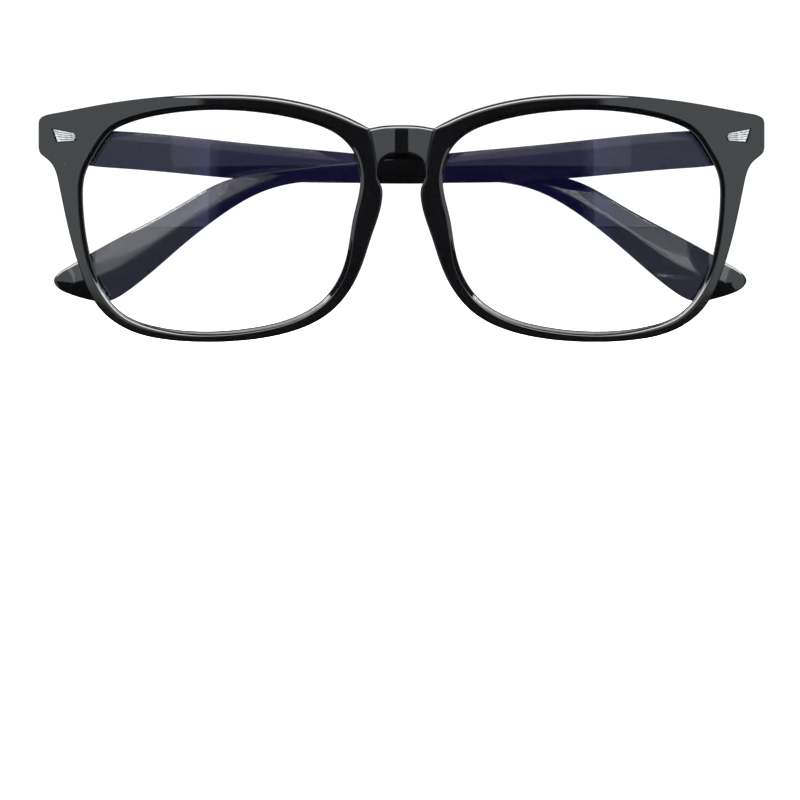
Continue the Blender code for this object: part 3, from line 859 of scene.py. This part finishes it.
# ---- hinge screws
def screw(label, side):
    """A turned pan-head screw with a driver slot."""
    x = side * HINGE_X
    top = SCREW_HIGH.z
    under = top - SCREW_HEAD_HEIGHT
    r = SCREW_HEAD_RADIUS
    profile = [(0.0, top)] + [(r * share, top - depth) for share, depth in SCREW_DOME]
    profile += [(r, under + SCREW_HEAD_CHAMFER), (r - SCREW_HEAD_CHAMFER, under), (SCREW_RADIUS, under)]
    profile += [(SCREW_RADIUS, SCREW_LOW.z + SCREW_TIP_CHAMFER)]
    profile += [(SCREW_RADIUS - SCREW_TIP_CHAMFER, SCREW_LOW.z), (0.0, SCREW_LOW.z)]
    made = turned(f"hinge_screw_{label}_slotted", profile, x, HINGE_Y)
    slot = [(x + a * SLOT_HALF_LENGTH, HINGE_Y + b * SLOT_HALF_WIDTH) for a, b in CORNERS]
    boolean(made, prism("driver slot", slot, top - SLOT_DEPTH, top + CUT_OVER), "DIFFERENCE")
    tidy_mesh(made, 30.0)
    return made


# ---- temples
def temple_columns():
    """Matching places on the top edge, the bottom edge and the inner spine, from root to tip."""
    top = Track(spline(TEMPLE_TOP))
    low = Track(spline(TEMPLE_BOTTOM)[::-1])
    spine = Track(spline(TEMPLE_SPINE))
    marks = [[top.nearest(a), low.nearest(b), spine.nearest(c)] for a, b, c in TEMPLE_PAIRS]
    places = np.vstack([*columns(marks, TEMPLE_STEP, 1), marks[-1:]])
    return top, low, spine, places


def temple_outline_columns():
    """The temple's whole outline, clockwise, with the spine place that each column runs in to."""
    top, low, spine, places = temple_columns()
    upper = top.at(places[:, 0])
    lower = low.at(places[:, 1])
    ridge = spine.at(places[:, 2])
    tip_line = spline([tuple(upper[-1])] + TEMPLE_TIP[1:] + [tuple(lower[-1])], step=TIP_STEP)[1:-1]
    root_line = np.linspace(lower[0], upper[0], ROOT_ROWS)[1:-1]
    line = np.vstack([upper, tip_line, lower[::-1], root_line])
    runs = np.vstack([ridge, np.repeat(ridge[-1:], len(tip_line), axis=0), ridge[::-1]])
    runs = np.vstack([runs, np.repeat(ridge[:1], len(root_line), axis=0)])
    before = np.roll(line, 1, axis=0)
    after = np.roll(line, -1, axis=0)
    along = (after - line) / np.linalg.norm(after - line, axis=1)[:, None]
    along += (line - before) / np.linalg.norm(line - before, axis=1)[:, None]
    along /= np.linalg.norm(along, axis=1)[:, None]
    inward = np.column_stack([along[:, 1], -along[:, 0]])
    return line, runs, inward


def taper_at(s):
    return TEMPLE_TAPER * np.clip(s / TEMPLE_TAPER_LENGTH, 0.0, 1.0)


def ridge_fall(t):
    """Share of the crown's drop at share t of the way from the ridge to the edge."""
    whole = math.hypot(1.0, RIDGE_SOFTNESS) - RIDGE_SOFTNESS
    return (math.hypot(t, RIDGE_SOFTNESS) - RIDGE_SOFTNESS) / whole


def temple_arm(label, side):
    """One temple: flat outside, ridged inside, rounded along its edges."""
    line, runs, inward = temple_outline_columns()
    root_share = smoothstep(*ROOT_EDGE_RANGE, line[:, 0])
    radius = TEMPLE_EDGE * (ROOT_EDGE_SHARE + (1 - ROOT_EDGE_SHARE) * root_share)
    radius = radius[:, None]
    rows = []

    def row(place, out):
        rows.append(np.column_stack([np.broadcast_to(out, len(place)), place[:, 0], place[:, 1]]))

    start = line + inward * radius * (1 - math.sin(TEMPLE_EDGE_TILT))
    reach = np.linalg.norm(start - runs, axis=1)
    crown = np.interp(line[:, 0], *np.array(INNER_CROWN).T)
    for _ in range(3):
        crown = evened(crown, 3)
    drop = crown * np.clip(reach / CROWN_REACH, *CROWN_SCALE) * smoothstep(*CROWN_RANGE, line[:, 0])
    for t in np.linspace(0.0, 1.0, TEMPLE_ROWS["inner"])[:-1]:
        place = runs + (start - runs) * t
        row(place, taper_at(place[:, 0]) + drop * ridge_fall(t))
    for turn in np.linspace(TEMPLE_EDGE_TILT, math.pi / 2, TEMPLE_ROWS["edge"]):
        place = line + inward * radius * (1 - math.sin(turn))
        down = math.cos(TEMPLE_EDGE_TILT) - math.cos(turn)
        row(place, taper_at(place[:, 0]) + drop + radius[:, 0] * down)
    start = line + inward * radius
    for share_in, share_down in reversed(fillet(1.0, TEMPLE_ROWS["edge"])):
        place = line + inward * radius * share_in
        row(place, TEMPLE_THICKNESS - radius[:, 0] * share_down)
    for t in np.linspace(1.0, 0.0, TEMPLE_ROWS["outer"])[1:]:
        row(runs + (start - runs) * t, TEMPLE_THICKNESS)
    rows = np.array(rows)
    vertices = rows.reshape(-1, 3) * np.array([side, 1.0, 1.0])
    faces = woven(rows.shape[:2], True, wrap_rows=False)
    return mesh_object(f"temple_{label}_arm", vertices, faces)


def knuckle(label):
    """The middle barrel of the hinge, on the temple."""
    low = LOWER_EAR[1] + KNUCKLE_GAP
    high = UPPER_EAR[0] - KNUCKLE_GAP
    soft = BARREL_EDGE
    r = EAR_RADIUS
    profile = [(0.0, high), (r - soft, high), (r, high - soft), (r, low + soft), (r - soft, low), (0.0, low)]
    return turned(f"knuckle {label}", profile, 0.0, 0.0)


def temple(label, side):
    """Built open along +Y from the hinge axis, then turned shut about it."""
    arm = temple_arm(label, side)
    boolean(arm, knuckle(label), "UNION")
    room = EAR_RADIUS + EAR_CLEARANCE
    for low, high in ((CUT_LOW, LOWER_EAR[1] + KNUCKLE_GAP), (UPPER_EAR[0] - KNUCKLE_GAP, CUT_HIGH)):
        boolean(arm, cylinder("recess", room, low, high), "DIFFERENCE")
    boolean(arm, cylinder("bore", BORE_RADIUS, CUT_LOW, CUT_HIGH), "DIFFERENCE")
    turn = Matrix.Rotation(side * FOLD[label], 4, "Z")
    place = Matrix.Translation(Vector((side * HINGE_X, HINGE_Y, 0.0)) * MM)
    arm.data.transform(place @ turn)
    tidy_mesh(arm, 32.0)
    return arm


# ---- materials
def shader_nodes(name):
    material = bpy.data.materials.new(name)
    material.use_nodes = True
    nodes = material.node_tree.nodes
    nodes.clear()
    output = nodes.new("ShaderNodeOutputMaterial")
    shader = nodes.new("ShaderNodeBsdfPrincipled")
    material.node_tree.links.new(shader.outputs["BSDF"], output.inputs["Surface"])
    return material, nodes, material.node_tree.links, shader


def set_inputs(node, values):
    for name, value in values.items():
        node.inputs[name].default_value = value


def noise(nodes, links, scale, detail, stretch=(1.0, 1.0, 1.0)):
    """Noise in object space, in cells per metre."""
    places = nodes.new("ShaderNodeTexCoord")
    mapping = nodes.new("ShaderNodeMapping")
    texture = nodes.new("ShaderNodeTexNoise")
    set_inputs(mapping, {"Scale": stretch})
    set_inputs(texture, {"Scale": scale, "Detail": detail})
    links.new(places.outputs["Object"], mapping.inputs["Vector"])
    links.new(mapping.outputs["Vector"], texture.inputs["Vector"])
    return texture.outputs["Fac"]


def ranged(nodes, links, value, low, high, from_low=0.0, from_high=1.0):
    node = nodes.new("ShaderNodeMapRange")
    set_inputs(node, {"From Min": from_low, "From Max": from_high, "To Min": low, "To Max": high})
    links.new(value, node.inputs["Value"])
    return node.outputs["Result"]


def tinted(nodes, links, value, dark, bright, start=0.0, end=1.0):
    """A colour that goes from dark to bright as the value goes from start to end."""
    node = nodes.new("ShaderNodeValToRGB")
    for element, colour, place in zip(node.color_ramp.elements, (dark, bright), (start, end)):
        element.color = (*colour, 1.0)
        element.position = place
    links.new(value, node.inputs["Fac"])
    return node.outputs["Color"]


def bump(nodes, links, value, distance, strength, shader):
    node = nodes.new("ShaderNodeBump")
    set_inputs(node, {"Distance": distance, "Strength": strength})
    links.new(value, node.inputs["Height"])
    links.new(node.outputs["Normal"], shader.inputs["Normal"])


def see_through(nodes, links, shader, share):
    """Makes the surface transparent by share."""
    clear = nodes.new("ShaderNodeBsdfTransparent")
    mix = nodes.new("ShaderNodeMixShader")
    links.new(share, mix.inputs["Fac"])
    links.new(shader.outputs["BSDF"], mix.inputs[1])
    links.new(clear.outputs["BSDF"], mix.inputs[2])
    links.new(mix.outputs["Shader"], nodes["Material Output"].inputs["Surface"])


def gloss_black(name, stretch):
    """Polished injection-moulded plastic: near black, with a faint unevenness and fine wiping marks."""
    material, nodes, links, shader = shader_nodes(name)
    clouds = noise(nodes, links, scale=90.0, detail=3.0)
    colour = tinted(nodes, links, clouds, dark=(0.0008, 0.0008, 0.0010), bright=(0.0016, 0.0016, 0.0019))
    links.new(colour, shader.inputs["Base Color"])
    marks = noise(nodes, links, scale=900.0, detail=4.0, stretch=stretch)
    rough = ranged(nodes, links, marks, low=0.02, high=0.065, from_low=0.35, from_high=0.75)
    links.new(rough, shader.inputs["Roughness"])
    waves = noise(nodes, links, scale=160.0, detail=1.0)
    bump(nodes, links, waves, distance=0.00002, strength=0.25, shader=shader)
    set_inputs(shader, {"IOR": 1.5, "Specular IOR Level": 0.5})
    return material


def clear_lens(name):
    """A coated spectacle lens: clear, with a violet-blue reflection, and no shadow of its own."""
    material, nodes, links, shader = shader_nodes(name)
    set_inputs(shader, {"Base Color": (0.985, 0.985, 1.0, 1.0), "Transmission Weight": 1.0, "IOR": 1.5,
                        "Specular Tint": (0.31, 0.31, 0.47, 1.0)})
    smears = noise(nodes, links, scale=55.0, detail=3.0)
    rough = ranged(nodes, links, smears, low=0.0, high=0.02, from_low=0.45, from_high=0.8)
    links.new(rough, shader.inputs["Roughness"])
    path = nodes.new("ShaderNodeLightPath")
    see_through(nodes, links, shader, path.outputs["Is Shadow Ray"])
    return material


def metal(name, dark, bright, rough_low, rough_high, stretch):
    """Bare metal with fine tool marks and darker grime in places."""
    material, nodes, links, shader = shader_nodes(name)
    grime = noise(nodes, links, scale=1500.0, detail=4.0)
    colour = tinted(nodes, links, grime, dark, bright, start=0.3, end=0.6)
    links.new(colour, shader.inputs["Base Color"])
    shader.inputs["Metallic"].default_value = 1.0
    marks = noise(nodes, links, scale=6000.0, detail=3.0, stretch=stretch)
    links.new(ranged(nodes, links, marks, rough_low, rough_high), shader.inputs["Roughness"])
    bump(nodes, links, marks, distance=0.00001, strength=0.3, shader=shader)
    return material


def finish_piece(obj, material, body, node):
    obj.data.materials.clear()
    obj.data.materials.append(material)
    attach(obj, body)
    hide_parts(node)


FRONT_BLACK = gloss_black("front gloss black", (1.0, 1.0, 3.0))
TEMPLE_BLACK = gloss_black("temple gloss black", (0.4, 2.0, 2.0))
LENS_CLEAR = clear_lens("coated clear lens")
SCREW_STEEL = metal("turned steel", dark=(0.42, 0.42, 0.43), bright=(0.72, 0.72, 0.73),
                    rough_low=0.18, rough_high=0.4, stretch=(1.0, 1.0, 6.0))
TRIM_SILVER = metal("pressed silver", dark=(0.5, 0.5, 0.505), bright=(0.74, 0.74, 0.74),
                    rough_low=0.1, rough_high=0.2, stretch=(0.3, 1.0, 2.0))

finish_piece(front(), FRONT_BLACK, "front", "front_frame")
for label, side in SIDES.items():
    finish_piece(lens(label, side), LENS_CLEAR, "front", f"lens_{label}")
    finish_piece(inlay(label, side), TRIM_SILVER, "front", f"inlay_{label}")
    finish_piece(screw(label, side), SCREW_STEEL, "front", f"hinge_screw_{label}")
    finish_piece(temple(label, side), TEMPLE_BLACK, f"{label}_temple", f"temple_{label}")


# ---- stage, light and camera
def floor():
    corners = [(a * FLOOR_HALF_SIZE, b * FLOOR_HALF_SIZE, 0.0) for a, b in CORNERS]
    sheet = mesh_object("floor", corners, [(0, 1, 2, 3)])
    material, nodes, links, shader = shader_nodes("pale paper")
    dark, bright = [(grey, grey, grey) for grey in FLOOR_GREYS]
    colour = tinted(nodes, links, noise(nodes, links, scale=3.0, detail=3.0), dark, bright)
    links.new(colour, shader.inputs["Base Color"])
    set_inputs(shader, {"Roughness": 0.9, "Specular IOR Level": 0.0})
    places = nodes.new("ShaderNodeTexCoord")
    parts = nodes.new("ShaderNodeSeparateXYZ")
    links.new(places.outputs["Object"], parts.inputs["Vector"])
    hidden = nodes.new("ShaderNodeMath")
    hidden.operation = "MULTIPLY"
    links.new(after_gloss(material.node_tree), hidden.inputs[0])
    links.new(ranged(nodes, links, parts.outputs["Y"], 1.0, FLOOR_HIDDEN, *FLOOR_SHOWS), hidden.inputs[1])
    see_through(nodes, links, shader, hidden.outputs["Value"])
    sheet.data.materials.append(material)


def softbox(name, place, aim, width, height, radiance, colour=(1.0, 1.0, 1.0)):
    """A rectangular light that looks equally bright from anywhere, in metres."""
    data = bpy.data.lights.new(name, "AREA")
    data.shape = "RECTANGLE"
    data.size = width
    data.size_y = height
    data.energy = radiance * math.pi * width * height
    data.color = colour
    light = add(name, data)
    light.location = place
    light.rotation_euler = (Vector(aim) - Vector(place)).to_track_quat("-Z", "Y").to_euler()
    light.visible_camera = False
    return light


def side_light(side, start, end, low, height, share):
    """Part of a side softbox, between two directions from the middle of the scene."""
    turns = [math.radians(angle) for angle in (start, end)]
    near, far = [Vector((side * math.sin(a), -math.cos(a), 0.0)) * SIDE_LIGHT_REACH for a in turns]
    middle = (near + far) / 2
    middle.z = low + height / 2
    aim = (0.0, 0.0, middle.z)
    width = (near - far).length
    return softbox("side softbox", middle, aim, width, height, SIDE_RADIANCE * share, SIDE_COLOUR)


def elevated_light(name, low, high, half_width, radiance):
    """A light above the camera, between two elevations from the middle of the scene."""
    turns = [math.radians(angle) for angle in (low, high)]
    near, far = [Vector((0.0, -math.cos(a), math.sin(a))) * HIGH_LIGHT_REACH for a in turns]
    softbox(name, (near + far) / 2, LIGHT_AIM, 2 * half_width, (near - far).length, radiance)


def for_lenses_only(light, coated):
    light.light_linking.receiver_collection = coated
    light.visible_transmission = False


def after_gloss(tree):
    """1 for what a glossy surface reflects, which keeps the surround out of reflections."""
    path = tree.nodes.new("ShaderNodeLightPath")
    test = tree.nodes.new("ShaderNodeMath")
    test.operation = "GREATER_THAN"
    test.inputs[1].default_value = 0.5
    tree.links.new(path.outputs["Glossy Depth"], test.inputs[0])
    return test.outputs["Value"]


def world_light():
    world = bpy.data.worlds.new("white surround")
    world.use_nodes = True
    background = world.node_tree.nodes["Background"]
    background.inputs["Color"].default_value = (1.0, 1.0, 1.0, 1.0)
    background.inputs["Strength"].default_value = SURROUND_STRENGTH
    links = world.node_tree.links
    dark = world.node_tree.nodes.new("ShaderNodeBackground")
    dark.inputs["Strength"].default_value = 0.0
    mix = world.node_tree.nodes.new("ShaderNodeMixShader")
    links.new(after_gloss(world.node_tree), mix.inputs["Fac"])
    links.new(background.outputs["Background"], mix.inputs[1])
    links.new(dark.outputs["Background"], mix.inputs[2])
    links.new(mix.outputs["Shader"], world.node_tree.nodes["World Output"].inputs["Surface"])
    bpy.context.scene.world = world


def camera():
    data = bpy.data.cameras.new("camera")
    data.sensor_width = SENSOR_WIDTH
    data.lens = SENSOR_WIDTH * CAMERA_DISTANCE / FRAME_WIDTH
    data.clip_end = CLIP_END
    obj = add("camera", data)
    eye = Vector((FRAME_X, FRONT_Y * MM - CAMERA_DISTANCE, CAMERA_HEIGHT))
    aim = Vector((FRAME_X, FRONT_Y * MM, FRAME_Z))
    obj.location = eye
    obj.rotation_euler = (aim - eye).to_track_quat("-Z", "Y").to_euler()
    bpy.context.scene.camera = obj


def lights():
    """Softboxes at both sides, above and behind, and the ones that only the coated lenses take."""
    coated = bpy.data.collections.new("coated lenses")
    for label in SIDES:
        coated.objects.link(bpy.data.objects[f"lens_{label}_polished"])
    side_start = SIDE_STRIPS[0][0]
    side_ends = [start for start, share in SIDE_STRIPS[1:]] + [SIDE_LIGHT_TO]
    lens_ends = [start for start, share in LENS_STRIPS[1:]] + [side_start]
    lens_height = SIDE_LIGHT_HEIGHT + LENS_LIGHT_DROP
    for side in SIDES.values():
        for (start, share), end in zip(SIDE_STRIPS, side_ends):
            side_light(side, start, end, SIDE_LIGHT_LOW, SIDE_LIGHT_HEIGHT, share)
        side_light(side, *LOW_WING, -LOW_WING_DROP, LOW_WING_DROP, 1.0)
        for (start, share), end in zip(LENS_STRIPS, lens_ends):
            strip = side_light(side, start, end, -LENS_LIGHT_DROP, lens_height, share)
            for_lenses_only(strip, coated)
        below = side_light(side, side_start, LOW_WING[0], -LENS_LIGHT_DROP, LENS_LIGHT_DROP, 1.0)
        for_lenses_only(below, coated)
    for name, low, high, half_width, radiance in ELEVATED_LIGHTS:
        elevated_light(name, low, high, half_width, radiance)
    veil = softbox("lens veil", VEIL_PLACE, VEIL_AIM, *VEIL_SIZE, VEIL_RADIANCE, VEIL_COLOUR)
    for_lenses_only(veil, coated)
    for name, place, width, height, radiance in REAR_LIGHTS:
        softbox(name, place, LIGHT_AIM, width, height, radiance)


floor()
world_light()
lights()
bpy.context.scene.view_settings.view_transform = "Standard"
camera()
